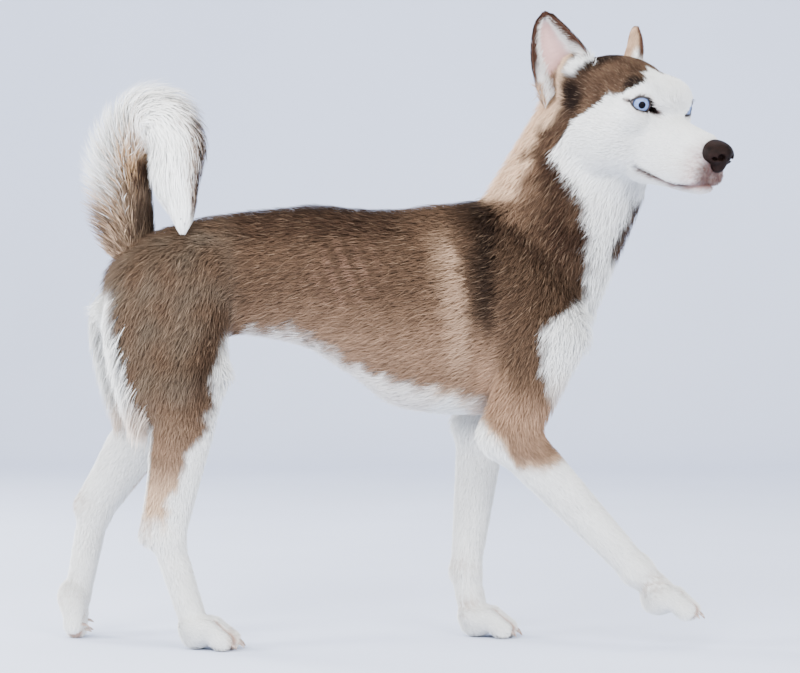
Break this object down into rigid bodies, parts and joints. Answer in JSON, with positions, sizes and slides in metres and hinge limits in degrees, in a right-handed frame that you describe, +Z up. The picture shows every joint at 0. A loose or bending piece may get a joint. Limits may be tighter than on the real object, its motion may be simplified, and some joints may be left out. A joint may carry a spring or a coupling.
{
  "type": "siberian husky figure",
  "caption": "A young siberian husky walking, life size: lean body, turned head, upright ears, one forefoot raised and a bushy tail curled over the rump",
  "frame": {"origin": "middle of the bounding box, on the floor", "axes": "+X towards the forechest (the way it walks), +Y to the dog's left, +Z up"},
  "size_m": [0.7034, 0.2278, 0.6577],
  "materials": {
    "coat_brown": "short brown fur with paler roots",
    "coat_white": "white fur",
    "eye": "wet pale blue eye",
    "nose": "moist dark nose leather",
    "claw": "dull horn"
  },
  "bodies": {
    "root": {"chest": "coat_brown", "loin": "coat_brown", "rump": "coat_brown", "neck": "coat_brown", "head": "coat_white", "jaw": "coat_white", "nose": "nose", "eye_right": "eye", "eye_left": "eye", "ear_right": "coat_brown", "ear_left": "coat_brown", "upper_arm_right": "coat_brown", "forearm_right": "coat_white", "paw_fore_right": "coat_white", "upper_arm_left": "coat_brown", "forearm_left": "coat_white", "paw_fore_left": "coat_white", "thigh_right": "coat_brown", "shank_right": "coat_brown", "cannon_right": "coat_white", "paw_hind_right": "coat_white", "thigh_left": "coat_brown", "shank_left": "coat_white", "cannon_left": "coat_white", "paw_hind_left": "coat_white", "tail_base": "coat_brown", "tail_top": "coat_white", "tail_tip": "coat_white", "claw_fore_right_1": "claw", "claw_fore_right_2": "claw", "claw_fore_right_3": "claw", "claw_fore_right_4": "claw", "claw_fore_left_1": "claw", "claw_fore_left_2": "claw", "claw_fore_left_3": "claw", "claw_fore_left_4": "claw", "claw_hind_right_1": "claw", "claw_hind_right_2": "claw", "claw_hind_right_3": "claw", "claw_hind_right_4": "claw", "claw_hind_left_1": "claw", "claw_hind_left_2": "claw", "claw_hind_left_3": "claw", "claw_hind_left_4": "claw"}
  },
  "joints": []
}
